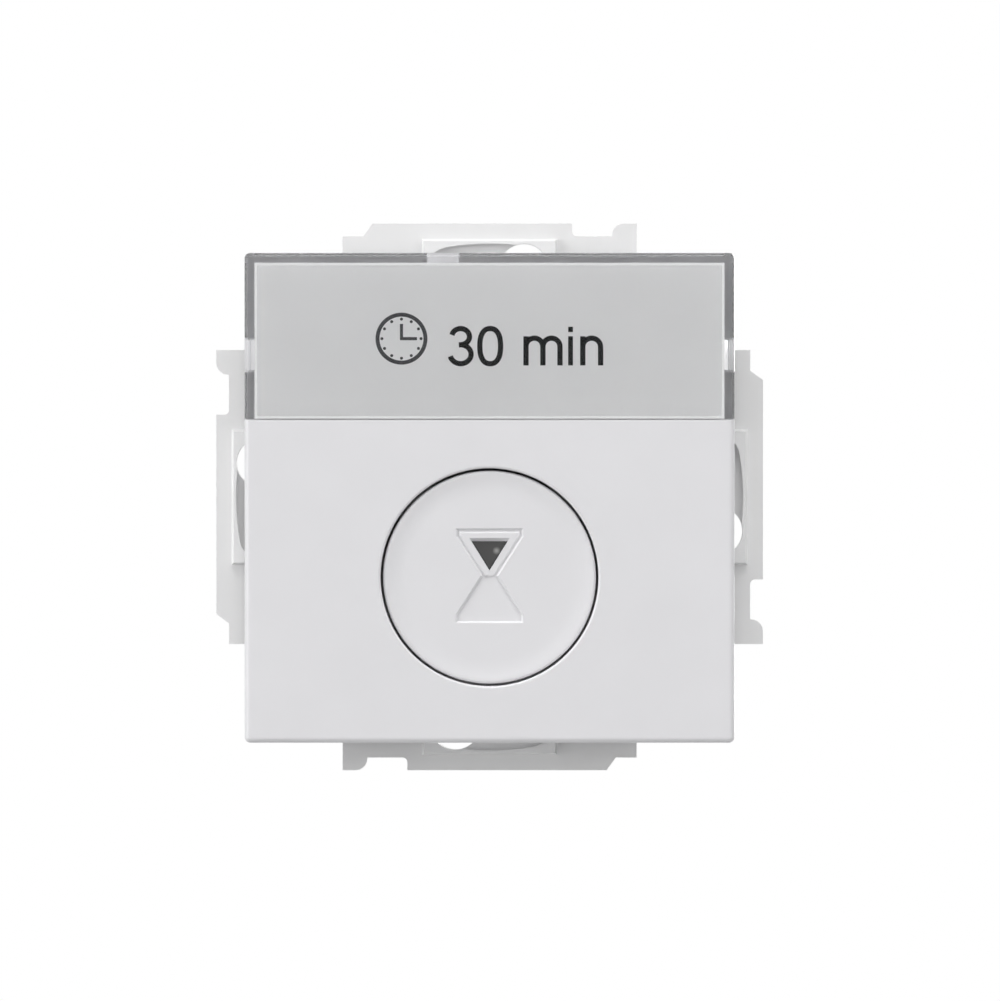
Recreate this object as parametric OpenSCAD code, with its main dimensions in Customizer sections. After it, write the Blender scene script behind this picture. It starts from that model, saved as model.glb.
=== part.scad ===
// Flush-mounted timer light switch: a push button insert with a label window on a support ring.
// The front faces -Y, +Z is up, and the origin is the centre of the ring's back on the wall.
// Each piece is drawn lying down, with its front towards +Z and the wall at 0, and then stood up.

/* [Front cover] */
// Side of the square front cover
cover_w = 63; // [61:0.5:65]
// Height of the cover's face above the wall
cover_front = 10.5; // [10:0.1:12]
// Thickness of the cover's face
cover_plate = 1.8; // [1.4:0.1:2.2]
// Thickness of the cover's skirt
cover_wall = 1.5; // [1.2:0.1:2]
// Rounding of the front edges and corners
edge_r = 0.7; // [0.4:0.1:1]
// Gap between the skirt and the ring's pads
skirt_gap = 0.6; // [0.3:0.1:1]
// Width of a snap leg
leg_w = 6; // [4:0.5:7]
// Thickness of a snap leg
leg_t = 1.6; // [1.2:0.1:1.8]
// Height of the legs' centres above and below the middle
leg_up = 7; // [6.5:0.1:7.5]
// Distance of the legs from the sides of the ring's opening
leg_in = 1; // [0.9:0.05:1.2]
// Reach of a snap leg's barb
barb = 0.7; // [0.4:0.1:1]
// Length of a barb along its leg
barb_l = 1.2; // [0.8:0.1:1.4]

/* [Label window] */
// Height of the window
win_h = 21.3; // [18:0.1:22]
// Thickness of the window's face
win_plate = 1.4; // [1:0.1:1.8]
// Thickness of the window's walls
win_wall = 1.2; // [1:0.1:1.5]
// Depth of the window, walls included
win_deep = 5.5; // [5:0.1:6]
// Thickness of the label card
card_t = 0.3; // [0.2:0.05:0.5]
// Width of a latch notch in a side wall
latch_w = 4.4; // [3:0.1:6]
// Height of the latch notches above the window's lower edge
latch_up = 8.2; // [6:0.1:12]
// Width of the pry notch in the top wall
pry_w = 4.1; // [3:0.1:6]
// Distance of the pry notch from the middle
pry_off = 6; // [0:0.5:12]
// Height of a latch nub above the tray's side
nub = 0.6; // [0.3:0.1:0.9]

/* [Push button] */
// Diameter of the button
btn_d = 27.4; // [25:0.1:28]
// Distance of the button's centre below the cover's centre
btn_drop = 10.2; // [9.5:0.1:10.8]
// Gap between the button and its hole
btn_gap = 0.32; // [0.2:0.02:0.5]
// Rounding of the hole's front edge
hole_edge = 0.3; // [0.1:0.05:0.4]
// Depth of the button's edge below the cover's face
btn_sink = 0.45; // [0.2:0.05:0.8]
// Thickness of the button's face
btn_plate = 1.8; // [1.5:0.1:2]
// Thickness of the button's skirt
btn_wall = 1.2; // [1:0.1:1.5]
// Depth of the dish in the button's face
btn_dish = 0.25; // [0.1:0.05:0.3]
// Width of the slope around the dish
dish_run = 2.4; // [2:0.1:4]
// Rounding of the button's front edge
btn_edge = 0.35; // [0.2:0.05:0.5]
// Travel of the button
travel = 1.2; // [0.8:0.1:1.4]
// Depth of the collar behind the cover's face
collar_deep = 2.7; // [2.3:0.1:3]
// Thickness of the collar
collar_wall = 1.2; // [1:0.1:1.6]
// Height of a retaining lug
lug_h = 0.95; // [0.7:0.05:1.1]
// Width of a retaining lug
lug_w = 6; // [4:0.5:8]
// Width of the slits beside a lug
slit_w = 0.8; // [0.6:0.1:1.2]
// Radius of the stem that presses the key switch
stem_r = 1.6; // [1.2:0.1:2]
// Distance of the stem below the button's centre
stem_off = 4.3; // [4:0.1:4.5]

/* [Hourglass and light guide] */
// Width of the sunk hourglass
glass_w = 8.2; // [7.8:0.1:9]
// Height of the sunk hourglass
glass_h = 11.7; // [11.4:0.1:13]
// Width of its waist
glass_waist = 1.7; // [1.5:0.1:2.2]
// Length of its straight sides
glass_side = 0.8; // [0.6:0.1:1.2]
// Height of its centre above the button's centre
glass_up = 0.2; // [0.1:0.02:0.4]
// Depth of the hourglass
glass_deep = 0.3; // [0.2:0.05:0.5]
// Run of the hourglass's sloping walls
glass_run = 0.25; // [0.1:0.05:0.4]
// Height of the raised frame in the upper half
frame_h = 0.2; // [0.1:0.05:0.25]
// Gap between the frame's foot and the hourglass's walls
frame_gap = 0.1; // [0.05:0.01:0.2]
// Run of the frame's sloping sides
frame_run = 0.25; // [0.1:0.05:0.35]
// Width of the three-cornered eye in the frame
eye_w = 5.2; // [4.6:0.1:5.4]
// Height of the eye
eye_h = 4.2; // [3.8:0.05:4.4]
// Height of the eye's top edge above the button's centre
eye_top = 5.05; // [4.8:0.05:5.1]
// Run of the slope under the eye's top edge
eye_slope = 0.45; // [0.2:0.05:0.5]
// Depth of the light guide's face below the hourglass
eye_deep = 0.5; // [0.3:0.05:0.7]
// Width of the light guide's flange
guide_rim = 0.6; // [0.4:0.1:0.8]
// Thickness of the light guide's flange
guide_flange = 0.9; // [0.6:0.1:1.2]
// Length of the light guide behind its flange
guide_tail = 1.6; // [1:0.1:1.7]

/* [Return spring] */
// Mean diameter of the coil
coil_d = 19; // [18.6:0.1:20]
// Thickness of the wire
wire_d = 0.6; // [0.5:0.05:0.7]
// Number of turns
coil_turns = 4; // [3:0.5:4.5]

/* [Support ring] */
// Width of the ring across its tabs
ring_w = 71; // [70:0.5:72]
// Thickness of the ring
ring_t = 1.6; // [1.4:0.1:2]
// Diameter of the ring between its tabs
ring_d = 65; // [64:0.5:67]
// Half width of a tab
tab_half = 19.1; // [18:0.1:20]
// Depth of a tab's step and notch
tab_step = 1.65; // [1.2:0.05:2]
// Distance of the step's foot from the middle
step_at = 16.4; // [15.5:0.1:17]
// Run of the slope beside the step
step_run = 1.2; // [0.5:0.1:2]
// Distance of the notch from the middle
notch_at = 10.7; // [10:0.1:12]
// Width of the notch
notch_w = 5.2; // [4.5:0.1:5.6]
// Rounding of the notch's inner corner
notch_r = 0.6; // [0.3:0.1:0.8]
// Rounding of the hook beside the notch
hook_r = 1.5; // [0.8:0.1:1.6]
// Width of the opening in the ring
open_w = 40; // [39.5:0.1:40.5]
// Width of the opening across its cut corners
open_d = 45; // [44.5:0.1:45.5]
// Depth of the recess that takes the housing's rim
seat = 0.4; // [0.2:0.1:0.6]

/* [Keyholes] */
// Diameter of the circle that the box screws stand on
screw_circle = 60; // [59.5:0.1:60.5]
// Radius of the hole that a screw's head passes
key_r = 3.2; // [3:0.05:3.4]
// Turn of the round hole from the side's middle, in degrees
key_turn = 8.5; // [7:0.5:10]
// Width of the slot that the screw slides in
slot_w = 3.6; // [3.2:0.1:4]
// Turn of the slot's far end from the side's middle, in degrees
slot_turn = 10; // [9:0.5:10.5]
// Width of the sunk way for the screw's head
head_w = 5.8; // [5:0.1:6]
// Half width of the raised pad around a keyhole
pad_half = 8.8; // [8.6:0.1:9.4]
// Radius at which a pad begins
pad_in = 26; // [25.5:0.1:26.5]
// Radius at which a pad ends
pad_out = 33.5; // [33.4:0.05:33.7]
// Height of a pad
pad_h = 0.8; // [0.5:0.1:1]
// Width of a pad's bevel
pad_bevel = 0.3; // [0.2:0.1:0.8]

/* [Chassis] */
// Width of the housing
house_w = 47; // [46.6:0.1:47.6]
// Width of the housing across its round corners
house_d = 58; // [57.5:0.1:58.5]
// Depth of the housing behind the wall
house_deep = 23; // [21:0.5:26]
// Thickness of the housing's walls
house_wall = 1.6; // [1.2:0.1:1.8]
// Thickness of the lid
lid_t = 1.6; // [1.2:0.1:2]
// Height of the lid's lip in the ring's opening
lip_h = 0.9; // [0.5:0.1:1.2]
// Thickness of the lid's lip
lip_t = 1; // [0.8:0.1:1.2]
// Height of the rim that centres the spring
rim_up = 0.9; // [0.6:0.1:1.2]
// Thickness of the rim that centres the spring
rim_t = 0.8; // [0.6:0.1:0.9]
// Distance of the lid's screws from both middles
screw_at = 18; // [17.9:0.05:18.2]
// Radius of the screws' bosses
boss_r = 2.7; // [2.4:0.1:2.8]
// Radius of a lid screw's shank
screw_r = 1.3; // [1:0.1:1.5]
// Length of a lid screw's shank
screw_l = 10; // [8:0.5:12]
// Radius of a lid screw's head
screw_head_r = 2.6; // [2.2:0.1:2.8]
// Height of a lid screw's head
screw_head_h = 1.5; // [1.2:0.1:1.8]
// Length of the cross slots in a lid screw's head
cross_l = 3.4; // [3:0.1:4]
// Height of the ribs that strengthen the housing's sides
rib_out = 0.5; // [0.3:0.1:0.6]
// Width of a rib
rib_w = 1.4; // [1:0.1:2]
// Distance between the ribs
rib_pitch = 9; // [7:0.5:10]
// Width of the sunk field on the housing's back
field_w = 30; // [20:1:34]
// Height of the sunk field
field_h = 22; // [16:1:24]
// Depth of the sunk field
field_deep = 0.3; // [0.2:0.05:0.5]
// Width of the bevel on the housing's rear edges
rear_bevel = 1.2; // [0.5:0.1:1.4]

/* [Circuit board] */
// Thickness of the board
board_t = 1.6; // [1.2:0.1:1.8]
// Depth of the board's front behind the wall
board_in = 1; // [0.9:0.1:1.5]
// Side of the key switch
key_w = 6; // [5.8:0.1:6.2]
// Height of the key switch without its plate
key_h = 3.2; // [2.8:0.1:3.4]
// Thickness of the key switch's plate
key_plate = 0.3; // [0.2:0.05:0.4]
// Radius of the key switch's plunger
plunger_r = 1.75; // [1.5:0.05:1.9]
// Length of the plunger above the plate
plunger_up = 2.1; // [1.8:0.1:2.2]
// Length of the plunger below the plate
plunger_in = 1.4; // [1:0.1:1.6]
// Radius of the lamp
led_r = 1.5; // [1.3:0.05:1.6]
// Height of the lamp
led_h = 5.2; // [4.5:0.1:5.3]
// Height of the lamp's foot
led_foot = 0.8; // [0.5:0.1:1]
// Length of the microcontroller
chip_l = 8.6; // [5:0.1:10]
// Width of the microcontroller
chip_w = 4; // [3:0.1:6]
// Height of the microcontroller
chip_h = 1.5; // [1:0.1:1.6]
// Distance of the microcontroller above the middle
chip_up = 13; // [12.5:0.1:14]
// Length of the relay
relay_l = 18.4; // [18:0.1:20]
// Width of the relay
relay_w = 10.2; // [10:0.1:12]
// Height of the relay
relay_h = 15.3; // [12:0.1:15.5]
// Length of the dropper capacitor
film_l = 17; // [16:0.1:18.2]
// Width of the dropper capacitor
film_w = 7.5; // [7:0.1:8.6]
// Height of the dropper capacitor
film_h = 14.5; // [12:0.1:15]
// Diameter of the smoothing capacitor
can_d = 8; // [6.3:0.1:8.2]
// Height of the smoothing capacitor
can_h = 11.5; // [9:0.1:13]
// Diameter of the varistor
disc_d = 9.4; // [8:0.1:9.6]
// Thickness of the varistor
disc_t = 3.8; // [3:0.1:4]
// Diameter of the fuse
fuse_d = 8; // [7.5:0.1:8.2]
// Height of the fuse
fuse_h = 8; // [7:0.1:9]
// Length of the rectifier
bridge_l = 8; // [7:0.1:8.2]
// Width of the rectifier
bridge_w = 6; // [5:0.1:6.2]
// Height of the rectifier
bridge_h = 2.6; // [2:0.1:3.2]
// Diameter of a resistor
res_d = 2.4; // [2:0.1:2.6]
// Length of a resistor
res_l = 6.2; // [5:0.1:6.5]
// Diameter of a component's lead
lead_d = 0.6; // [0.5:0.05:0.7]

/* [Terminals] */
// Number of terminals
term_n = 4; // [2:1:4]
// Distance between terminals
term_pitch = 7.5; // [7.3:0.05:7.55]
// Length of a terminal block along the wire
term_l = 10; // [9.8:0.1:10.2]
// Height of a terminal block on the board
term_h = 11; // [10.6:0.1:12]
// Radius of a wire's hole
wire_r = 1.7; // [1.5:0.05:1.8]
// Thickness of the block's wall at the wire
wire_wall = 2; // [1.6:0.1:2.2]
// Depth of the wire's axis behind the board
wire_in = 3.4; // [3.3:0.05:3.5]
// Radius of the well over a terminal screw
well_r = 2.2; // [2.1:0.05:2.4]
// Thickness of the block's other walls
term_wall = 1; // [0.8:0.05:1.1]
// Thickness of a terminal cage
cage_t = 0.9; // [0.7:0.05:1]
// Thickness of the cage's threaded wall
cage_nut = 2; // [1.6:0.1:2.2]
// Radius of a terminal screw's shank
clamp_r = 1.3; // [1.1:0.05:1.4]
// Radius of a terminal screw's head
clamp_head_r = 1.9; // [1.7:0.05:1.95]
// Height of a terminal screw's head
clamp_head_h = 1.6; // [1.2:0.1:1.8]
// Width of a screw's slot
drive_w = 0.6; // [0.5:0.05:0.7]
// Depth of a screw's slot
drive_deep = 0.8; // [0.6:0.05:0.9]

/* [Clearances] */
// Room around a piece that moves
slide = 0.25; // [0.2:0.01:0.3]
// Room around a piece that is fitted
fit = 0.15; // [0.1:0.01:0.2]
// Room between faces that meet
touch = 0.05; // [0.02:0.01:0.08]
// Room between the pieces behind the board
part_gap = 0.5; // [0.3:0.1:0.6]

/* [Hidden] */

// Facets of a round face, and of a rounded edge
round_n = 64;
soft_n = 24;
soft_steps = 5;
// Rings in a turn of the spring, and sides of its wire
ring_n = 24;
wire_n = 6;
// A small length: a slice of a rounded edge, and by how much a piece sinks into its neighbour
slice = 0.01;
// Length by which a cut runs past the face that it opens
past = 1;

// Heights, all measured from the wall towards the front
pad_z = ring_t + pad_h;
cover_back = pad_z + skirt_gap;
lid_back = ring_t;
lid_front = lid_back + lid_t;
board_front = -board_in;
board_back = board_front - board_t;
tray_z = cover_front - win_plate - card_t - touch;
ledge_z = cover_front - win_deep - fit;
under_cover = cover_front - cover_plate;
under_tray = tray_z - cover_plate;
btn_face = cover_front - btn_sink;
btn_under = btn_face - btn_plate;
collar_end = under_cover - collar_deep;
btn_end = collar_end - touch - lug_h;
glass_z = btn_face - btn_dish - glass_deep;
guide_z = glass_z - eye_deep;
key_top = board_front + key_h;
plunger_top = key_top + key_plate + plunger_up;
house_step = term_h - board_back;

// Places across the front
cover_half = cover_w / 2;
tray_half = cover_half - win_wall - fit;
win_low = cover_half - win_h;
tray_low = win_low - fit;
latch_y = win_low + latch_up;
btn_r = btn_d / 2;
hole_r = btn_r + btn_gap;
collar_r = hole_r + collar_wall;
lug_r = hole_r + collar_wall - slide;
coil_r = coil_d / 2;
rim_r = coil_r - wire_d / 2 - slide;
leg_x = open_w / 2 - leg_in;
key_y = -btn_drop - stem_off;
guide_h = eye_h - eye_slope;
guide_top = eye_top - eye_slope;
eye_mid = guide_top - guide_h / 3;
led_y = -btn_drop + eye_mid;

// Places of the terminals and of the pieces behind the board
notch_half = term_n * term_pitch / 2;
term_low = -house_w / 2 + touch;
notch_y = term_low + term_l + fit;
term_x = [for (i = [0 : term_n - 1]) (i - (term_n - 1) / 2) * term_pitch];
cage_low = term_low + wire_wall + touch;
cage_high = term_low + term_l - term_wall - touch;
cage_half = term_pitch / 2 - touch - term_wall - touch;
wire_z = board_back - wire_in;
cage_front = wire_z + wire_r + cage_t;
cage_back = wire_z - wire_r - clamp_r - cage_nut;
clamp_y = (cage_low + cage_high) / 2;
inner_half = house_w / 2 - house_wall;
row_low = notch_y + house_wall + part_gap;
row_mid = row_low + max(can_d, bridge_w, fuse_d) + part_gap;
can_at = [part_gap - inner_half + can_d / 2, row_low + can_d / 2];
bridge_at = [can_at[0] + can_d / 2 + part_gap + bridge_l / 2, row_low + bridge_w / 2];
fuse_at = [bridge_at[0] + bridge_l / 2 + part_gap + fuse_d / 2, row_low + fuse_d / 2];
res_x = fuse_at[0] + fuse_d / 2 + part_gap + (res_l + res_d) / 2;
res_at = [for (i = [0, 1]) [res_x, row_low + res_d / 2 + i * (res_d + part_gap)]];
mid_half = (film_l + part_gap + disc_d) / 2;
film_at = [mid_half - film_l / 2, row_mid + film_w / 2];
disc_at = [disc_d / 2 - mid_half, row_mid + disc_t / 2];
relay_at = [0, inner_half - fit - rib_w - relay_w / 2];

module upright() { rotate([90, 0, 0]) children(); }

module slab(low, high) { translate([0, 0, low]) linear_extrude(high - low) children(); }

module rod(r, low, high) { translate([0, 0, low]) cylinder(r = r, h = high - low, $fn = round_n); }

module four() { for (a = [0 : 90 : 270]) rotate(a) children(); }

module at_button() { translate([0, -btn_drop, 0]) children(); }

module at_screws() { for (x = [-1, 1], y = [-1, 1]) translate([x, y] * screw_at) children(); }

// A box from one corner to the other
module box(a, b) { translate(a) cube(b - a); }

// A square with its corners cut by a circle
module cut_square(w, d) {
  intersection() {
    square(w, center = true);
    circle(d = d, $fn = round_n);
  }
}

// The outline of the housing, grown all round
module house_2d(grow) { cut_square(house_w + 2 * grow, house_d + 2 * grow); }

// The outline of the ring's opening, grown all round
module open_2d(grow) { cut_square(open_w + 2 * grow, open_d + 2 * grow); }

// A block with rounded corners and rounded front edges
module soft_block(x, y, low, high, r) {
  hull() for (sx = [-1, 1], sy = [-1, 1]) translate([sx * (x / 2 - r), sy * (y / 2 - r), 0]) {
    translate([0, 0, low]) cylinder(r = r, h = slice, $fn = soft_n);
    for (i = [0 : soft_steps]) let (a = 90 * i / soft_steps)
      translate([0, 0, high - r + r * sin(a) - slice])
        cylinder(r = r * cos(a) + slice, h = slice, $fn = soft_n);
  }
}

// A triangle that points down from the middle of its top edge, grown all round
function triangle(w, h, grow) =
  let (half = w / 2, side = norm([half, h]), x = half + grow * (side + half) / h)
  [[-x, grow], [x, grow], [0, -h - grow * side / half]];

// A solid between two clockwise outlines of as many points, each closed by the same caps
module taper(a, b, low, high, caps) {
  n = len(a);
  polyhedron([for (p = a) [p[0], p[1], low], for (p = b) [p[0], p[1], high]],
    concat([for (c = caps) [for (i = [len(c) - 1 : -1 : 0]) c[i]]], [for (c = caps) [for (i = c) n + i]],
      [for (i = [0 : n - 1]) [i, (i + 1) % n, n + (i + 1) % n, n + i]]));
}

// Points on a quarter of a circle, from one angle to the next quarter
function quarter(at, r, start, turn) =
  [for (i = [0 : soft_steps]) let (a = start + turn * i / soft_steps) at + r * [cos(a), sin(a)]];

// The outline of one tab of the ring, on the upper side
module tab_2d() {
  top = ring_w / 2;
  foot = top - tab_step;
  hook = notch_at + notch_w + hook_r;
  difference() {
    translate([-tab_half, 0]) square([2 * tab_half, top]);
    polygon([[-tab_half - past, foot], [-step_at, foot], [-step_at + step_run, top],
      [-step_at + step_run, top + past], [-tab_half - past, top + past]]);
    polygon(concat([[notch_at, top + past]], quarter([notch_at + notch_r, foot + notch_r], notch_r, 180, 90),
      [[notch_at + notch_w, foot]], quarter([hook, top - hook_r], hook_r, 180, -90), [[hook, top + past]]));
  }
}

// An arc on the circle of the box screws, from the keyhole to the slot's end.
// Its round end is a slice narrower, so that no two faces only touch along a line.
module screw_way(w, low, high) {
  r = screw_circle / 2;
  rotate(90 - key_turn) rotate_extrude(angle = key_turn + slot_turn, $fn = round_n)
    translate([r - w / 2, low]) square([w, high - low]);
  rotate(90 + slot_turn) translate([r, 0, 0]) rod(w / 2 - slice, low, high);
}

// A raised pad with bevelled edges around one keyhole, sunk a little into the ring
module pad() {
  base = ring_t - slice;
  intersection() {
    translate([0, pad_out, base]) rotate([90, 0, 0]) linear_extrude(pad_out - pad_in)
      polygon([[-pad_half, 0], [pad_half, 0], [pad_half - pad_bevel, pad_h + slice],
        [-pad_half + pad_bevel, pad_h + slice]]);
    translate([-pad_half, 0, base]) rotate([90, 0, 90]) linear_extrude(2 * pad_half)
      polygon([[pad_in, 0], [pad_out, 0], [pad_out - pad_bevel, pad_h + slice],
        [pad_in + pad_bevel, pad_h + slice]]);
  }
}

module support_ring() {
  color("gainsboro") upright() difference() {
    union() {
      slab(0, ring_t) union() {
        circle(d = ring_d, $fn = round_n);
        four() tab_2d();
      }
      four() pad();
    }
    slab(-past, pad_z) open_2d(0);
    slab(-past, seat) house_2d(fit);
    at_screws() rod(screw_r + 2 * fit, -past, pad_z);
    four() {
      screw_way(slot_w, -past, pad_z + past);
      screw_way(head_w, ring_t, pad_z + past);
      rotate(90 - key_turn) translate([screw_circle / 2, 0, 0]) rod(key_r, -past, pad_z + past);
    }
  }
}

// Wedges that bevel the four rear edges of the housing
module rear_edges() {
  for (a = [0 : 90 : 270]) rotate(a) translate([house_w / 2, 0, -house_deep]) rotate([0, 45, 0])
    cube([rear_bevel * sqrt(2), house_w + past, rear_bevel * sqrt(2)], center = true);
}

module rear_housing() {
  upper = [house_w, house_w];
  color("whitesmoke") upright() difference() {
    union() {
      difference() {
        union() {
          slab(-house_step, seat) house_2d(0);
          slab(-house_deep, seat) intersection() {
            house_2d(0);
            translate([-house_w / 2, notch_y]) square(upper);
          }
        }
        slab(board_back, seat + past) house_2d(-house_wall);
        slab(-house_deep + house_wall, board_back + slice) intersection() {
          house_2d(-house_wall);
          translate([-house_w / 2, notch_y + house_wall]) square(upper);
        }
      }
      at_screws() rod(boss_r, -house_step, seat);
      for (s = [-1, 1]) {
        for (i = [-1 : 1]) translate([0, i * rib_pitch + rib_pitch / 2, 0])
          box([s * house_w / 2 - rib_out, -rib_w / 2, -house_deep + 2 * rear_bevel],
            [s * house_w / 2 + rib_out, rib_w / 2, board_back]);
        box([s * inner_half / 2 - rib_w, inner_half - rib_w, -house_deep + house_wall],
          [s * inner_half / 2 + rib_w, inner_half + slice, board_back]);
      }
    }
    at_screws() rod(screw_r + touch, lid_front - screw_l - past, seat + past);
    box([-notch_half - fit, -house_w, -house_step - past], [notch_half + fit, notch_y, board_back]);
    rear_edges();
    translate([0, (notch_y + house_w / 2) / 2, -house_deep])
      box([-field_w / 2, -field_h / 2, -past], [field_w / 2, field_h / 2, field_deep]);
  }
}

module housing_lid() {
  slot_in = leg_x - leg_t - touch;
  slot_out = leg_x + barb + fit;
  slot_half = leg_w / 2 + fit;
  color("whitesmoke") upright() difference() {
    union() {
      slab(lid_back, lid_front) house_2d(-fit);
      slab(lid_back - lip_h, lid_back + slice) difference() {
        open_2d(-fit);
        open_2d(-fit - lip_t);
      }
      at_button() rod(rim_r, lid_front - slice, lid_front + rim_up);
    }
    at_button() rod(rim_r - rim_t, lid_back - lip_h - past, lid_front + rim_up + past);
    at_screws() rod(screw_r + 2 * fit, lid_back - past, lid_front + past);
    for (s = [-1, 1], y = [-leg_up, leg_up]) translate([0, y, 0]) mirror([s < 0 ? 1 : 0, 0, 0]) {
      box([slot_in, -slot_half, lid_back - past], [slot_out, slot_half, lid_front + past]);
      box([slot_in - barb - fit, -slot_half, lid_back - lip_h - past],
        [open_w / 2, slot_half, lid_back]);
    }
  }
}

module lid_screws() {
  color("silver") upright() at_screws() difference() {
    union() {
      rod(screw_r, lid_front - screw_l, lid_front + slice);
      rod(screw_head_r, lid_front, lid_front + screw_head_h);
    }
    for (a = [0, 90]) rotate(a) translate([0, 0, lid_front + screw_head_h])
      cube([cross_l, drive_w, 2 * drive_deep], center = true);
  }
}

// A snap leg under the cover, with its barb behind the lid
module snap_leg() {
  tip = lid_back - barb_l - fit;
  translate([0, leg_w / 2, 0]) rotate([90, 0, 0]) linear_extrude(leg_w)
    polygon([[leg_x, tip], [leg_x, under_cover + slice], [leg_x - leg_t, under_cover + slice],
      [leg_x - leg_t, lid_back - touch], [leg_x - leg_t - barb, lid_back - touch],
      [leg_x - leg_t, tip]]);
}

// The space over the label tray that the window and the card fill
module window_space() {
  far = cover_half + past;
  box([-far, tray_low, tray_z], [far, far, cover_front + past]);
  box([-far, tray_half, ledge_z], [far, far, cover_front + past]);
  for (s = [-1, 1]) translate([s * (tray_half + far) / 2, 0, 0])
    box([-(far - tray_half) / 2, tray_low, ledge_z], [(far - tray_half) / 2, far, cover_front + past]);
}

// A latch nub on the side of the label tray
module latch_nub() {
  tall = latch_w - 2 * slide;
  translate([tray_half - slice, latch_y + tall / 2, ledge_z]) rotate([90, 0, 0]) linear_extrude(tall)
    polygon([[0, -slice], [nub, -slice], [nub, (tray_z - ledge_z) / 2], [0, tray_z - ledge_z]]);
}

// The hole that the button slides in, with a rounded front edge
module button_hole() {
  top = cover_front - hole_edge;
  rotate_extrude($fn = round_n) polygon([[0, collar_end - past], [hole_r, collar_end - past],
    for (i = [0 : soft_steps]) let (a = 90 * i / soft_steps)
      [hole_r + hole_edge * (1 - cos(a)), top + hole_edge * sin(a)],
    [hole_r + hole_edge, cover_front + past], [0, cover_front + past]]);
}

module front_cover() {
  skirt_in = cover_half - cover_wall;
  tray_in = tray_half - cover_wall;
  step_in = tray_low - cover_wall;
  color("white") upright() difference() {
    union() {
      difference() {
        soft_block(cover_w, cover_w, cover_back, cover_front, edge_r);
        window_space();
        box([-skirt_in, -skirt_in, cover_back - past], [skirt_in, step_in, under_cover]);
        box([-tray_in, step_in - slice, cover_back - past], [tray_in, tray_in, under_tray]);
      }
      at_button() rod(collar_r, collar_end, under_cover + slice);
      for (s = [-1, 1]) mirror([s < 0 ? 1 : 0, 0, 0]) {
        for (y = [-leg_up, leg_up]) translate([0, y, 0]) snap_leg();
        latch_nub();
      }
    }
    at_button() button_hole();
  }
}

module label_window() {
  back = cover_front - win_deep;
  inner = cover_half - win_wall;
  color("lightgrey", 0.5) upright() difference() {
    intersection() {
      soft_block(cover_w, cover_w, back, cover_front, edge_r);
      box([-cover_half - past, win_low, back - past], [cover_half + past, cover_half + past,
        cover_front + past]);
    }
    box([-inner, win_low - past, back - past], [inner, inner, cover_front - win_plate]);
    for (s = [-1, 1]) translate([s * (cover_half - win_wall / 2), latch_y, 0])
      box([-win_wall, -latch_w / 2, back - past], [win_wall, latch_w / 2, cover_front - win_plate]);
    translate([-pry_off, cover_half, 0])
      box([-pry_w / 2, -2 * win_wall, back - past], [pry_w / 2, past, cover_front - win_plate]);
  }
}

module label_card() {
  edge = tray_half - fit;
  color("lightgrey") upright() box([-edge, win_low, tray_z], [edge, edge, tray_z + card_t]);
}

// The outline of the sunk hourglass, grown all round
function hourglass(grow) =
  let (x = glass_w / 2, y = glass_h / 2, w = glass_waist / 2, k = (x - w) / (y - glass_side),
    side = x + grow, top = y + grow, waist = w + grow * norm([1, k]), bend = (side - waist) / k)
  [for (p = [[-side, top], [side, top], [side, bend], [waist, 0], [side, -bend], [side, -top],
    [-side, -top], [-side, -bend], [-waist, 0], [-side, bend]]) p + [0, glass_up]];

// The outline of its upper half
function upper_half(grow) = let (h = hourglass(grow)) [h[0], h[1], h[2], h[3], h[8], h[9]];

// The sunk hourglass, with sloping walls
module hourglass_cut() {
  tall = glass_deep + past;
  taper(hourglass(0), hourglass(glass_run * tall / glass_deep), glass_z, glass_z + tall,
    [[0, 1, 2, 3, 8, 9], [3, 4, 5, 6, 7, 8]]);
}

// The outline of the light guide, grown all round
module guide_2d(grow) {
  translate([0, guide_top]) polygon(triangle(eye_w * guide_h / eye_h, guide_h, grow));
}

// The slope that leads from the eye's top edge down to the light guide
module eye_cut() {
  x = eye_w / 2 * guide_h / eye_h;
  translate([0, eye_top, 0]) taper([[-x, -eye_slope], [x, -eye_slope], [0, -eye_h]],
    triangle(eye_w, eye_h, 0), guide_z, glass_z + frame_h + slice, [[0, 1, 2]]);
}

// Half of the button's section, with a sloping rim around its flat face and a rounded edge
module button_section() {
  flat = btn_r - btn_edge;
  polygon([[0, btn_under], [btn_r - btn_wall, btn_under], [btn_r - btn_wall, btn_end], [btn_r, btn_end],
    for (i = [0 : soft_steps]) let (a = 90 * i / soft_steps)
      [flat + btn_edge * cos(a), btn_face - btn_edge + btn_edge * sin(a)],
    for (i = [1 : soft_steps]) let (t = i / soft_steps)
      [flat - dish_run * t, btn_face - btn_dish * (1 - (1 - t) * (1 - t))],
    [0, btn_face - btn_dish]]);
}

module push_button() {
  color("white") upright() at_button() difference() {
    union() {
      difference() {
        rotate_extrude($fn = round_n) button_section();
        hourglass_cut();
        for (a = [45 : 90 : 315], s = [-1, 1]) rotate(a) translate([0, s * (lug_w + slit_w) / 2, 0])
          box([btn_r - 2 * btn_wall, -slit_w / 2, btn_end - past], [btn_r + past, slit_w / 2, btn_under]);
      }
      for (a = [45 : 90 : 315]) rotate(a) intersection() {
        rod(lug_r, btn_end, btn_end + lug_h);
        box([btn_r - btn_wall / 2, -lug_w / 2, btn_end], [lug_r + past, lug_w / 2, btn_end + lug_h]);
      }
      taper(upper_half(-frame_gap), upper_half(-frame_gap - frame_run), glass_z - slice,
        glass_z + frame_h, [[0, 1, 2, 3, 4, 5]]);
      translate([0, -stem_off, 0]) rod(stem_r, plunger_top + touch, btn_under + slice);
    }
    eye_cut();
    slab(btn_under - past, guide_z + slice) guide_2d(0);
  }
}

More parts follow.
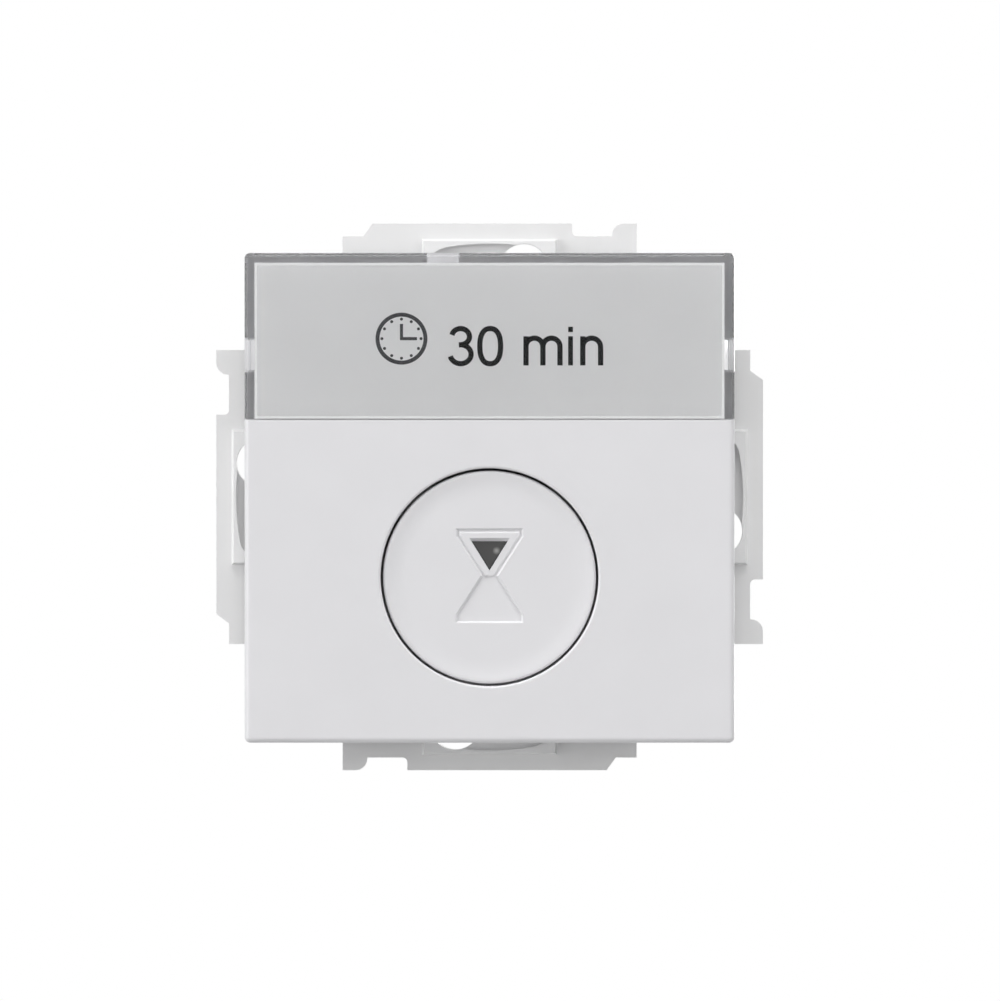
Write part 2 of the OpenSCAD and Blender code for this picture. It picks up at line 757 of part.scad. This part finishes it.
module light_guide() {
  color("dimgrey") upright() at_button() {
    slab(btn_under - guide_flange - guide_tail, guide_z) guide_2d(-touch);
    slab(btn_under - guide_flange - touch, btn_under - touch) guide_2d(guide_rim);
  }
}

// A round wire swept along a helix
module coil(r, wire, low, high, turns) {
  sides = wire_n;
  rings = ring_n * turns;
  rise = (high - low - wire) / rings;
  points = [for (i = [0 : rings], j = [0 : sides - 1])
    let (a = 360 * turns * i / rings, b = 360 * j / sides, q = r + wire / 2 * sin(b))
    [q * cos(a), q * sin(a), low + wire / 2 + rise * i + wire / 2 * cos(b)]];
  skin = [for (i = [0 : rings - 1], j = [0 : sides - 1])
    let (k = i * sides + j, m = i * sides + (j + 1) % sides) each
    [[k, m + sides, m], [k, k + sides, m + sides]]];
  ends = [[for (j = [0 : sides - 1]) j], [for (j = [sides - 1 : -1 : 0]) rings * sides + j]];
  polyhedron(points, concat(skin, ends));
}

module button_spring() {
  color("silver") upright() at_button()
    coil(coil_r, wire_d, lid_front + touch, btn_under - touch, coil_turns);
}

module circuit_board() {
  color("seagreen") upright() difference() {
    slab(board_back, board_front) house_2d(-house_wall - fit);
    at_screws() rod(boss_r + fit, board_back - past, board_front + past);
    for (x = term_x) translate([x, clamp_y, 0]) rod(lead_d, board_back - past, board_front + past);
  }
}

module push_switch_body() {
  color("dimgrey") upright() translate([0, key_y, 0]) difference() {
    box([-key_w / 2, -key_w / 2, board_front], [key_w / 2, key_w / 2, key_top]);
    rod(plunger_r + touch, key_top - plunger_in - travel - slide, key_top + past);
  }
}

module switch_cover() {
  color("silver") upright() translate([0, key_y, 0]) difference() {
    box([-key_w / 2, -key_w / 2, key_top], [key_w / 2, key_w / 2, key_top + key_plate]);
    rod(plunger_r + touch, key_top - past, key_top + past);
  }
}

module switch_plunger() {
  color("black") upright() translate([0, key_y, 0]) rod(plunger_r, key_top - plunger_in, plunger_top);
}

module indicator_led() {
  color("orange") upright() translate([0, led_y, board_front]) {
    rod(led_r + fit, 0, led_foot);
    rotate_extrude($fn = round_n) intersection() {
      union() {
        square([led_r, led_h - led_r]);
        translate([0, led_h - led_r]) circle(led_r, $fn = round_n);
      }
      square([led_r, led_h]);
    }
  }
}

module microcontroller() {
  color("black") upright() translate([0, chip_up, board_front])
    box([-chip_l / 2, -chip_w / 2, 0], [chip_l / 2, chip_w / 2, chip_h]);
}

// A box that hangs behind the board at a place
module behind(at, x, y, h) {
  translate([at[0], at[1], board_back]) box([-x / 2, -y / 2, -h], [x / 2, y / 2, 0]);
}

module relay() { color("royalblue") upright() behind(relay_at, relay_l, relay_w, relay_h); }

module dropper_capacitor() { color("khaki") upright() behind(film_at, film_l, film_w, film_h); }

module smoothing_capacitor() {
  color("midnightblue") upright() translate([can_at[0], can_at[1], board_back])
    rod(can_d / 2, -can_h, 0);
}

module varistor() {
  color("steelblue") upright() translate([disc_at[0], disc_at[1], board_back]) {
    translate([0, disc_t / 2, -disc_d / 2 - lead_d]) rotate([90, 0, 0]) rod(disc_d / 2, 0, disc_t);
    for (s = [-1, 1]) translate([s * disc_d / 4, 0, 0]) rod(lead_d / 2, -disc_d / 2, 0);
  }
}

module fuse() {
  color("saddlebrown") upright() translate([fuse_at[0], fuse_at[1], board_back])
    rod(fuse_d / 2, -fuse_h, 0);
}

module rectifier() { color("black") upright() behind(bridge_at, bridge_l, bridge_w, bridge_h); }

module resistors() {
  reach = res_l / 2 + res_d / 2;
  color("tan") upright() for (p = res_at) translate([p[0], p[1], board_back - res_d / 2]) {
    rotate([0, 90, 0]) {
      rod(res_d / 2, -res_l / 2, res_l / 2);
      rod(lead_d / 2, -reach, reach);
    }
    for (s = [-1, 1]) translate([s * (reach - lead_d), 0, 0]) rod(lead_d / 2, 0, res_d / 2);
  }
}

module terminal_blocks() {
  half = term_pitch / 2 - touch;
  inner = half - term_wall;
  back = board_back - term_h;
  color("lightgrey") upright() for (x = term_x) translate([x, 0, 0]) difference() {
    box([-half, term_low, back], [half, term_low + term_l, board_back]);
    box([-inner, term_low + wire_wall, cage_back - touch],
      [inner, term_low + term_l - term_wall, board_back + past]);
    translate([0, clamp_y, 0]) rod(well_r, back - past, cage_back);
    translate([0, term_low - past, wire_z]) rotate([-90, 0, 0]) rod(wire_r, 0, 2 * past + wire_wall);
  }
}

module terminal_cages() {
  color("goldenrod") upright() for (x = term_x) translate([x, 0, 0]) difference() {
    union() {
      box([-cage_half, cage_low, cage_back], [cage_half, cage_high, cage_front]);
      translate([0, clamp_y, 0]) rod(lead_d - touch, cage_front - slice, board_front + lead_d);
    }
    box([-cage_half + cage_t, cage_low - past, cage_back + cage_nut],
      [cage_half - cage_t, cage_high + past, cage_front - cage_t]);
    translate([0, clamp_y, 0]) rod(clamp_r + touch, cage_back - past, cage_back + cage_nut + past);
  }
}

module terminal_screws() {
  head = cage_back - touch;
  color("silver") upright() for (x = term_x) translate([x, clamp_y, 0]) difference() {
    union() {
      rod(clamp_r, head - slice, cage_back + cage_nut);
      rod(clamp_head_r, head - clamp_head_h, head);
    }
    translate([0, 0, head - clamp_head_h])
      cube([2 * clamp_head_r + past, drive_w, 2 * drive_deep], center = true);
  }
}

support_ring();
rear_housing();
housing_lid();
lid_screws();
front_cover();
label_window();
label_card();
push_button();
light_guide();
button_spring();
circuit_board();
push_switch_body();
switch_cover();
switch_plunger();
indicator_led();
microcontroller();
relay();
dropper_capacitor();
smoothing_capacitor();
varistor();
fuse();
rectifier();
resistors();
terminal_blocks();
terminal_cages();
terminal_screws();
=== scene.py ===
"""Looks of the flush-mounted timer light switch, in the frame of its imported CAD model.

Sizes are in millimetres, and MM turns them into Blender's metres.
"""
import math

import bmesh
import bpy
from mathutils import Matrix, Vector


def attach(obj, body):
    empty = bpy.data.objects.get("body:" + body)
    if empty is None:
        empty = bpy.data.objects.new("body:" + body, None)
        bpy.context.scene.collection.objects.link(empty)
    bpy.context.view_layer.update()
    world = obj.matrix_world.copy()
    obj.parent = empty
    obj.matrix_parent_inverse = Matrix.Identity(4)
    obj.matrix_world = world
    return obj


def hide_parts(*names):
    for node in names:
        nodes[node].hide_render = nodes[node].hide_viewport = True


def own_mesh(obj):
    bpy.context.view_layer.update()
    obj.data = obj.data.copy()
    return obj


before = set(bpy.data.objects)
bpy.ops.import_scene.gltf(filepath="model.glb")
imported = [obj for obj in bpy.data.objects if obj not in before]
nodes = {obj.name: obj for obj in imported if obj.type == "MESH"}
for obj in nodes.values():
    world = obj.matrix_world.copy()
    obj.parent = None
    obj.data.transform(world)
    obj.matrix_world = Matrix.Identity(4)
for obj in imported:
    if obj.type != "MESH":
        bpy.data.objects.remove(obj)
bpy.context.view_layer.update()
scene = bpy.context.scene
MM = 0.001


def corners(name):
    """The low and the high corner of a CAD node."""
    points = [nodes[name].matrix_world @ v.co / MM for v in nodes[name].data.vertices]
    return [Vector([pick(p[i] for p in points) for i in range(3)]) for pick in (min, max)]


def up(x, z, out):
    """A point in the row frame from its places across, up and out of the wall."""
    return Vector((x, -out, z)) * MM


# Shader nodes

def new_material(name):
    """A material and its empty node tree."""
    material = bpy.data.materials.new(name)
    material.use_nodes = True
    material.node_tree.nodes.clear()
    return material, material.node_tree


def add(tree, kind, values=None, **settings):
    """A new shader node with these settings, and these values on its inputs."""
    made = tree.nodes.new("ShaderNode" + kind)
    for key, value in settings.items():
        setattr(made, key, value)
    for key, value in (values or {}).items():
        made.inputs[key].default_value = value
    return made


# The range that holds nearly all of a noise, and how far it shifts a colour
NOISE_LOW, NOISE_HIGH = 0.3, 0.7
TINT = 0.012
# Broad patches on a surface, per metre
PATCHES = 90.0


def grain(tree, scale, detail):
    """Noise in the object's own metres."""
    place = add(tree, "TexCoord")
    noise = add(tree, "TexNoise", {"Scale": scale, "Detail": detail})
    tree.links.new(place.outputs["Object"], noise.inputs["Vector"])
    return noise.outputs["Fac"]


def spread(tree, noise, low, high):
    """The noise mapped to a range."""
    mapped = add(tree, "MapRange", {
        "From Min": NOISE_LOW, "From Max": NOISE_HIGH, "To Min": low, "To Max": high,
    })
    tree.links.new(noise, mapped.inputs["Value"])
    return mapped.outputs["Result"]


def tinted(tree, noise, colour):
    """A colour that varies a little with the noise."""
    ramp = add(tree, "ValToRGB")
    ends = ((NOISE_LOW, 1 - TINT), (NOISE_HIGH, 1 + TINT))
    for stop, (position, factor) in zip(ramp.color_ramp.elements, ends):
        stop.position = position
        stop.color = [min(1, c * factor) for c in colour] + [1]
    tree.links.new(noise, ramp.inputs["Fac"])
    return ramp.outputs["Color"]


# Finishes

def surface(name, colour, rough, bump, size, metal=0.0, ior=1.5, coat=0.0, uneven=0.05):
    """A solid finish: bump and size are its grain's height and width, uneven the spread of its roughness."""
    material, tree = new_material(name)
    out = add(tree, "OutputMaterial")
    bsdf = add(tree, "BsdfPrincipled", {"Metallic": metal, "IOR": ior, "Coat Weight": coat})
    relief = add(tree, "Bump", {"Strength": 1.0, "Distance": bump * MM})
    fine = grain(tree, 1 / (size * MM), 3.0)
    broad = grain(tree, PATCHES, 2.0)
    tree.links.new(tinted(tree, broad, colour), bsdf.inputs["Base Color"])
    tree.links.new(spread(tree, broad, rough - uneven, rough + uneven), bsdf.inputs["Roughness"])
    tree.links.new(fine, relief.inputs["Height"])
    tree.links.new(relief.outputs["Normal"], bsdf.inputs["Normal"])
    tree.links.new(bsdf.outputs["BSDF"], out.inputs["Surface"])
    return material


def clear(name, colour, gloss, rough, density, ior):
    """A clear moulding that takes light by its depth: gloss is how much of its reflection is kept."""
    material, tree = new_material(name)
    out = add(tree, "OutputMaterial")
    bsdf = add(tree, "BsdfPrincipled", {
        "Base Color": (*colour, 1), "Transmission Weight": 1.0, "Specular Tint": (gloss, gloss, gloss, 1),
        "IOR": ior, "Roughness": rough,
    })
    depth = add(tree, "VolumeAbsorption", {"Color": (0, 0, 0, 1), "Density": density})
    tree.links.new(bsdf.outputs["BSDF"], out.inputs["Surface"])
    tree.links.new(depth.outputs["Volume"], out.inputs["Volume"])
    return material


def smoked(name, colour, painted_glint, place, reach):
    """Dark smoked plastic with a painted glint: its base colour turns lighter around a place in the row
    frame, standing in for a lamp glinting behind it.
    """
    material = surface(name, colour, 0.08, 0.0003, 0.3, ior=1.58, coat=0.3)
    tree = material.node_tree
    bsdf = next(n for n in tree.nodes if n.type == "BSDF_PRINCIPLED")
    plain = bsdf.inputs["Base Color"].links[0].from_socket
    where = add(tree, "TexCoord")
    far = add(tree, "VectorMath", {1: place}, operation="DISTANCE")
    # Mask of the painted glint: 1 at its place, fading to 0 at its reach
    painted_glint_mask = add(tree, "MapRange", {
        "From Min": 0.0, "From Max": reach * MM, "To Min": 1.0, "To Max": 0.0,
    }, interpolation_type="SMOOTHSTEP")
    mix = add(tree, "Mix", {"B": (*painted_glint, 1)}, data_type="RGBA")
    tree.links.new(where.outputs["Object"], far.inputs[0])
    tree.links.new(far.outputs["Value"], painted_glint_mask.inputs["Value"])
    tree.links.new(painted_glint_mask.outputs["Result"], mix.inputs["Factor"])
    tree.links.new(plain, mix.inputs["A"])
    tree.links.new(mix.outputs["Result"], bsdf.inputs["Base Color"])
    return material


COVER_WHITE = (0.80, 0.796, 0.814)
WHITE = surface("white_plastic", COVER_WHITE, 0.36, 0.0010, 0.10, uneven=0.015)
BUTTON = surface("button_plastic", COVER_WHITE, 0.33, 0.0008, 0.10, uneven=0.015)
RING = surface("ring_plastic", (0.86, 0.86, 0.86), 0.45, 0.0015, 0.12)
HOUSING = surface("housing_plastic", (0.72, 0.72, 0.71), 0.55, 0.004, 0.16)
CARD = surface("card", (0.89, 0.89, 0.895), 0.8, 0.002, 0.08)
# Shiny white metal for the rim that stands in for a highlight around the card
PAINTED_HIGHLIGHT = surface("painted_highlight_metal", (0.97, 0.97, 0.97), 0.2, 0.0003, 0.2, metal=0.9, uneven=0.02)
INK = surface("ink", (0.006, 0.006, 0.007), 0.6, 0.0005, 0.05, ior=1.25)
SOFT_INK = surface("soft_ink", (0.07, 0.07, 0.075), 0.6, 0.0005, 0.05, ior=1.25)
# The light guide: smoked plastic with a painted glint, a lighter spot in its base colour
SMOKED = smoked("smoked_plastic", (0.030, 0.029, 0.029), (0.30, 0.30, 0.29), up(0.9, -6.8, 9.0), 0.6)
STEEL = surface("steel", (0.62, 0.63, 0.65), 0.3, 0.0010, 0.08, metal=1.0)
BRASS = surface("brass", (0.72, 0.55, 0.26), 0.3, 0.0010, 0.08, metal=1.0)
BOARD = surface("board", (0.03, 0.16, 0.07), 0.35, 0.0010, 0.3, coat=0.4)
DARK = surface("dark_plastic", (0.02, 0.02, 0.022), 0.45, 0.0020, 0.12)
LAMP = surface("lamp", (0.75, 0.30, 0.05), 0.12, 0.0003, 0.3, coat=0.5)
BLUE = surface("relay_plastic", (0.02, 0.07, 0.28), 0.3, 0.0010, 0.12)
YELLOW = surface("film_plastic", (0.62, 0.45, 0.07), 0.4, 0.0010, 0.12)
CAN = surface("can", (0.03, 0.035, 0.10), 0.25, 0.0005, 0.3)
VARISTOR = surface("varistor_coat", (0.03, 0.11, 0.30), 0.4, 0.006, 0.4)
FUSE = surface("fuse_plastic", (0.12, 0.045, 0.02), 0.4, 0.0010, 0.12)
RESISTOR = surface("resistor_coat", (0.45, 0.30, 0.15), 0.35, 0.0010, 0.2)
GREY = surface("terminal_plastic", (0.38, 0.39, 0.40), 0.5, 0.003, 0.14)
CLEAR = clear("clear_plastic", (0.975, 0.978, 0.98), 0.25, 0.02, 78.0, 1.49)

FINISH = {
    "support_ring": RING, "rear_housing": HOUSING, "housing_lid": HOUSING, "lid_screws": STEEL,
    "front_cover": WHITE, "label_window": CLEAR, "label_card": CARD, "push_button": BUTTON,
    "light_guide": SMOKED, "circuit_board": BOARD, "push_switch_body": DARK, "switch_cover": STEEL,
    "switch_plunger": DARK, "indicator_led": LAMP, "microcontroller": DARK, "relay": BLUE,
    "dropper_capacitor": YELLOW, "smoothing_capacitor": CAN, "varistor": VARISTOR, "fuse": FUSE,
    "rectifier": DARK, "resistors": RESISTOR, "terminal_blocks": GREY, "terminal_cages": BRASS,
    "terminal_screws": STEEL, "button_spring": STEEL,
}


# Edges

# How far each node's sharp edges are rounded
ROUND = {
    "support_ring": 0.18, "rear_housing": 0.35, "housing_lid": 0.2, "lid_screws": 0.12, "front_cover": 0.1,
    "push_button": 0.1, "light_guide": 0.06, "terminal_blocks": 0.2, "terminal_screws": 0.1, "relay": 0.4,
    "dropper_capacitor": 0.5, "smoothing_capacitor": 0.5, "microcontroller": 0.1, "fuse": 0.4,
    "rectifier": 0.2, "varistor": 0.5, "terminal_cages": 0.1,
}
# Nodes whose flat faces aren't joined, because the rounding would fold the joined ones
AS_CUT = ("front_cover", "push_button")
# Angles in degrees: faces up to the first are joined, edges above the others are rounded or shaded apart
FLAT_ANGLE, ROUND_ANGLE, SHARP_ANGLE = 0.3, 40, 38
ROUND_STEPS = 3
# Points closer than this, in metres, are one
WELD = 1e-6


def sharp_edges(limit):
    """A node group that keeps the shading apart at edges above an angle in degrees."""
    group = bpy.data.node_groups.new("sharp_edges", "GeometryNodeTree")
    for way in ("INPUT", "OUTPUT"):
        group.interface.new_socket("Geometry", in_out=way, socket_type="NodeSocketGeometry")
    start, end = group.nodes.new("NodeGroupInput"), group.nodes.new("NodeGroupOutput")
    angle = group.nodes.new("GeometryNodeInputMeshEdgeAngle")
    above = group.nodes.new("FunctionNodeCompare")
    above.operation = "GREATER_THAN"
    above.inputs["B"].default_value = math.radians(limit)
    shade = group.nodes.new("GeometryNodeSetShadeSmooth")
    shade.domain = "EDGE"
    shade.inputs["Shade Smooth"].default_value = False
    group.links.new(angle.outputs["Unsigned Angle"], above.inputs["A"])
    group.links.new(start.outputs[0], shade.inputs["Geometry"])
    group.links.new(above.outputs["Result"], shade.inputs["Selection"])
    group.links.new(shade.outputs["Geometry"], end.inputs[0])
    return group


def round_edges(node, width, join_faces):
    """Modifiers that round a node's sharp edges."""
    if join_faces:
        flat = node.modifiers.new("flat", "DECIMATE")
        flat.decimate_type = "DISSOLVE"
        flat.angle_limit = math.radians(FLAT_ANGLE)
    edge = node.modifiers.new("edge", "BEVEL")
    edge.width = width * MM
    edge.segments = ROUND_STEPS
    edge.limit_method = "ANGLE"
    edge.angle_limit = math.radians(ROUND_ANGLE)
    edge.harden_normals = False


SHARP = sharp_edges(SHARP_ANGLE)
for name, node in nodes.items():
    node.data.materials.clear()
    node.data.materials.append(FINISH[name])
    node.modifiers.new("join", "WELD").merge_threshold = WELD
    if name in ROUND:
        round_edges(node, ROUND[name], name not in AS_CUT)
    node.modifiers.new("sharp", "NODES").node_group = SHARP
    even = node.modifiers.new("even", "WEIGHTED_NORMAL")
    even.mode = "FACE_AREA"
    even.keep_sharp = True


# Flat shapes on the card

card_low, card_high = corners("label_card")
CARD_OUT = -card_low.y
INK_OUT = CARD_OUT + 0.02


def piece(name, bm, material, body):
    """A new piece of the part from a bmesh."""
    bmesh.ops.recalc_face_normals(bm, faces=bm.faces)
    mesh = bpy.data.meshes.new(name)
    bm.to_mesh(mesh)
    bm.free()
    mesh.materials.append(material)
    ob = bpy.data.objects.new(name, mesh)
    scene.collection.objects.link(ob)
    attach(ob, body)
    return ob


def flat_prism(bm, outline):
    """Ink over an outline."""
    n = len(outline)
    low, high = ([bm.verts.new(up(x, z, out)) for x, z in outline] for out in (CARD_OUT, INK_OUT))
    bm.faces.new(low)
    bm.faces.new(list(reversed(high)))
    for i in range(n):
        bm.faces.new((low[i], high[i], high[(i + 1) % n], low[(i + 1) % n]))


def flat_band(bm, inner, outer, top):
    """A closed band on the card, up to a height, between two outlines of as many points."""
    n = len(inner)
    rows = ((inner, CARD_OUT), (outer, CARD_OUT), (outer, top), (inner, top))
    loops = [[bm.verts.new(up(x, z, out)) for x, z in outline] for outline, out in rows]
    for p, q in zip(loops, loops[1:] + loops[:1]):
        for i in range(n):
            bm.faces.new((p[i], p[(i + 1) % n], q[(i + 1) % n], q[i]))


def circle(x, z, r, n):
    """A round outline of n points."""
    turns = (2 * math.pi * i / n for i in range(n))
    return [(x + r * math.cos(t), z + r * math.sin(t)) for t in turns]


def rectangle(left, low, right, high):
    """A square-cornered outline."""
    return [(left, low), (right, low), (right, high), (left, high)]


# Clock on the card: places are from the cover's centre, to the right and up

CLOCK_X, CLOCK_Z = -11.324, 20.488
CLOCK_IN, CLOCK_OUT = 2.83, 3.34
HOURS, HOUR_AT, HOUR_R = 12, 2.52, 0.2
# Half the hands' width, and how far they reach
HAND, HAND_RIGHT, HAND_UP = 0.2, 2.0, 1.9

bm = bmesh.new()
flat_band(bm, circle(CLOCK_X, CLOCK_Z, CLOCK_IN, 64), circle(CLOCK_X, CLOCK_Z, CLOCK_OUT, 64), INK_OUT)
for x, z in circle(CLOCK_X, CLOCK_Z, HOUR_AT, HOURS):
    flat_prism(bm, circle(x, z, HOUR_R, 12))
hands = [
    (-HAND, -HAND), (HAND_RIGHT, -HAND), (HAND_RIGHT, HAND), (HAND, HAND), (HAND, HAND_UP), (-HAND, HAND_UP),
]
flat_prism(bm, [(CLOCK_X + x, CLOCK_Z + z) for x, z in hands])
piece("label_clock", bm, SOFT_INK, "chassis")


# Time on the card

STROKE = 0.681
# Heights of the small letters' feet, of their stems and arches, and where an arch becomes a leg
FOOT, STEM_TOP, ARCH_TOP, LEG_TOP = 17.044, 20.797, 20.553, 18.252


def arc(x, z, across, high, start, stop, n=18, power=2.0):
    """Points on an oval, from one angle to another in degrees: a higher power fills its corners."""
    points = []
    for i in range(n + 1):
        t = math.radians(start + (stop - start) * i / n)
        c, s = (math.copysign(abs(v) ** (2 / power), v) for v in (math.cos(t), math.sin(t)))
        points.append((x + across * c, z + high * s))
    return points


def stroke(bm, path, closed=False):
    """A flat line of even width along a path."""
    n = len(path)
    rows = []
    for i, (x, z) in enumerate(path):
        before = path[i - 1] if closed else path[max(i - 1, 0)]
        after = path[(i + 1) % n] if closed else path[min(i + 1, n - 1)]
        dx, dz = after[0] - before[0], after[1] - before[1]
        k = STROKE / 2 / math.hypot(dx, dz)
        sides = ((x - dz * k, z + dx * k), (x + dz * k, z - dx * k))
        rows.append([bm.verts.new(up(*side, out)) for out in (CARD_OUT, INK_OUT) for side in sides])
    following = rows[1:] + rows[:1] if closed else rows[1:]
    for (a, b, c, d), (e, f, g, h) in zip(rows, following):
        for face in ((a, b, f, e), (c, g, h, d), (a, e, g, c), (b, d, h, f)):
            bm.faces.new(face)
    if not closed:
        for a, b, c, d in (rows[0], rows[-1]):
            bm.faces.new((a, b, d, c))


def three(bm, x, upper, lower):
    """A 3 from the height and the half sizes of its upper and its lower bow."""
    stroke(bm, arc(x, *upper, 168, -82))
    stroke(bm, arc(x, *lower, 100, -168))


def zero(bm, x, z, across, high, steps=60, power=2.35):
    """A 0 from its middle and its half sizes."""
    turn = 360 / steps
    stroke(bm, arc(x, z, across, high, 0, 360 - turn, steps - 1, power), closed=True)


def stem(bm, left, width=STROKE, low=FOOT, high=STEM_TOP):
    """An upright bar of a letter."""
    flat_prism(bm, rectangle(left, low, left + width, high))


def arch(bm, left, width, high):
    """The arch and the leg of an m or an n, of a width and a height of the arch alone."""
    right = left + width
    over = arc(left + width / 2, ARCH_TOP - high, width / 2, high, 172, 0)
    stroke(bm, over + [(right, LEG_TOP), (right, FOOT)])


THREE_X, THREE_UPPER, THREE_LOWER = -3.715, (20.746, 1.144, 1.041), (18.483, 1.350, 1.221)
ZERO_X, ZERO_Z, ZERO_ACROSS, ZERO_HIGH = 0.090, 19.524, 1.337, 2.262
M_STEM, M_ARCHES, M_WIDE, M_HIGH = 4.357, (4.679, 6.877), 2.191, 1.093
I_STEM, I_WIDE, I_DOT_LOW, I_DOT_HIGH = 10.116, 0.617, 21.337, 22.005
N_STEM, N_ARCH, N_WIDE, N_HIGH = 11.658, 11.979, 2.314, 1.131

bm = bmesh.new()
three(bm, THREE_X, THREE_UPPER, THREE_LOWER)
zero(bm, ZERO_X, ZERO_Z, ZERO_ACROSS, ZERO_HIGH)
for left in M_ARCHES:
    arch(bm, left, M_WIDE, M_HIGH)
arch(bm, N_ARCH, N_WIDE, N_HIGH)
stem(bm, M_STEM)
stem(bm, N_STEM)
stem(bm, I_STEM, I_WIDE)
stem(bm, I_STEM, I_WIDE, I_DOT_LOW, I_DOT_HIGH)
piece("label_time", bm, INK, "chassis")


# Painted highlight around the card: a thin shiny metallic rim stands in for the highlight along the window
# pane's inner edge, and covers the gap beside the card

RIM_OVER, RIM_W, RIM_H = 0.21, 0.33, 0.04


def rim_outline(inset):
    """The rim's outer edge, or a line inside it by an inset."""
    side, top = card_high.x + RIM_OVER - inset, card_high.z + RIM_OVER - inset
    return rectangle(-side, card_low.z + inset, side, top)


bm = bmesh.new()
flat_band(bm, rim_outline(RIM_W), rim_outline(0), CARD_OUT + RIM_H)
piece("painted_highlight_rim", bm, PAINTED_HIGHLIGHT, "chassis")


# Return spring, as long as its CAD node

spring_low, spring_high = corners("button_spring")
LOW, HIGH = -spring_high.y, -spring_low.y
COIL, WIRE = 9.5, 0.6
TURNS, RINGS, SIDES = 4, 48, 10
# The button's middle, the spring's seat, and the share of its length that is left under a pressed button
BUTTON_Z, SEAT, KEEP = -10.2, 3.2, 0.757


def ring_of_wire(bm, i):
    """The points around the wire at a step along the coil."""
    turn = 2 * math.pi * i / RINGS
    lift = LOW + WIRE / 2 + (HIGH - LOW - WIRE) * i / (TURNS * RINGS)
    points = []
    for j in range(SIDES):
        side = 2 * math.pi * j / SIDES
        r = COIL + WIRE / 2 * math.sin(side)
        out = lift + WIRE / 2 * math.cos(side)
        points.append(bm.verts.new(up(r * math.cos(turn), BUTTON_Z + r * math.sin(turn), out)))
    return points


bm = bmesh.new()
rows = [ring_of_wire(bm, i) for i in range(TURNS * RINGS + 1)]
for p, q in zip(rows, rows[1:]):
    for j in range(SIDES):
        bm.faces.new((p[j], p[(j + 1) % SIDES], q[(j + 1) % SIDES], q[j]))
bm.faces.new(rows[0])
bm.faces.new(rows[-1])
for face in bm.faces:
    face.smooth = True
spring = piece("coil_spring", bm, STEEL, "chassis")
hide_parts("button_spring")
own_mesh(spring)


# Studio: sizes and places of the floor and the lamps are in metres

FLOOR_HALF, FLOOR_DOWN = 3.0, 0.14
LAMPS_AWAY = 1.4


def white_to_view(tree, plain, white):
    """A shader that is white to the camera, in gloss and through the window, and plain to other rays."""
    path = add(tree, "LightPath")
    seen = path.outputs["Is Camera Ray"]
    for way in ("Is Transmission Ray", "Is Glossy Ray"):
        either = add(tree, "Math", operation="MAXIMUM")
        tree.links.new(seen, either.inputs[0])
        tree.links.new(path.outputs[way], either.inputs[1])
        seen = either.outputs[0]
    mix = add(tree, "MixShader")
    tree.links.new(seen, mix.inputs["Fac"])
    tree.links.new(plain, mix.inputs[1])
    tree.links.new(white, mix.inputs[2])
    return mix.outputs["Shader"]


def floor_material():
    """Pale grey to the lamps, and plain white to the view."""
    material, tree = new_material("studio_floor")
    out = add(tree, "OutputMaterial")
    pale = add(tree, "BsdfDiffuse", {"Color": (0.56, 0.56, 0.56, 1)})
    glow = add(tree, "Emission", {"Strength": 1.0})
    shown = white_to_view(tree, pale.outputs["BSDF"], glow.outputs["Emission"])
    tree.links.new(shown, out.inputs["Surface"])
    return material


def lamp(name, turn, rise, size, power):
    """A square lamp aimed at the origin, turned to the right of the front and raised, in degrees."""
    light = bpy.data.lights.new(name, "AREA")
    light.shape = "SQUARE"
    light.size = size
    light.energy = power
    ob = bpy.data.objects.new(name, light)
    t, r = math.radians(turn), math.radians(rise)
    ob.location = Vector((math.sin(t) * math.cos(r), -math.cos(t) * math.cos(r), math.sin(r))) * LAMPS_AWAY
    ob.rotation_euler = (-ob.location).to_track_quat("-Z", "Y").to_euler()
    scene.collection.objects.link(ob)


bm = bmesh.new()
bmesh.ops.create_grid(bm, x_segments=1, y_segments=1, size=FLOOR_HALF)
mesh = bpy.data.meshes.new("studio_floor")
bm.to_mesh(mesh)
bm.free()
mesh.materials.append(floor_material())
floor = bpy.data.objects.new("studio_floor", mesh)
floor.location = (0, 0, -FLOOR_DOWN)
scene.collection.objects.link(floor)

world = bpy.data.worlds.new("studio")
scene.world = world
world.use_nodes = True
tree = world.node_tree
tree.nodes.clear()
out = add(tree, "OutputWorld")
ambient = add(tree, "Background", {"Color": (0.96, 0.98, 1, 1), "Strength": 0.02})
white = add(tree, "Background", {"Color": (1, 1, 1, 1), "Strength": 1.0})
shown = white_to_view(tree, ambient.outputs["Background"], white.outputs["Background"])
tree.links.new(shown, out.inputs["Surface"])

lamp("left", -65, 12, 0.8, 12.5)
lamp("above", 0, 65, 0.7, 11.3)
lamp("right", 53, 23, 0.7, 6.9)
lamp("behind", 155, 8, 0.6, 8.5)


# Camera: about 0.85 m away and a little above the middle

EYE, AIM = up(1.35, 11.7, 861.0), up(1.35, -0.32, 10.5)

cam = bpy.data.cameras.new("camera")
cam.sensor_width = 36
cam.lens = 238
camera = bpy.data.objects.new("camera", cam)
camera.location = EYE
camera.rotation_euler = (AIM - EYE).to_track_quat("-Z", "Y").to_euler()
scene.collection.objects.link(camera)
scene.camera = camera
scene.view_settings.view_transform = "Standard"

bpy.context.view_layer.update()
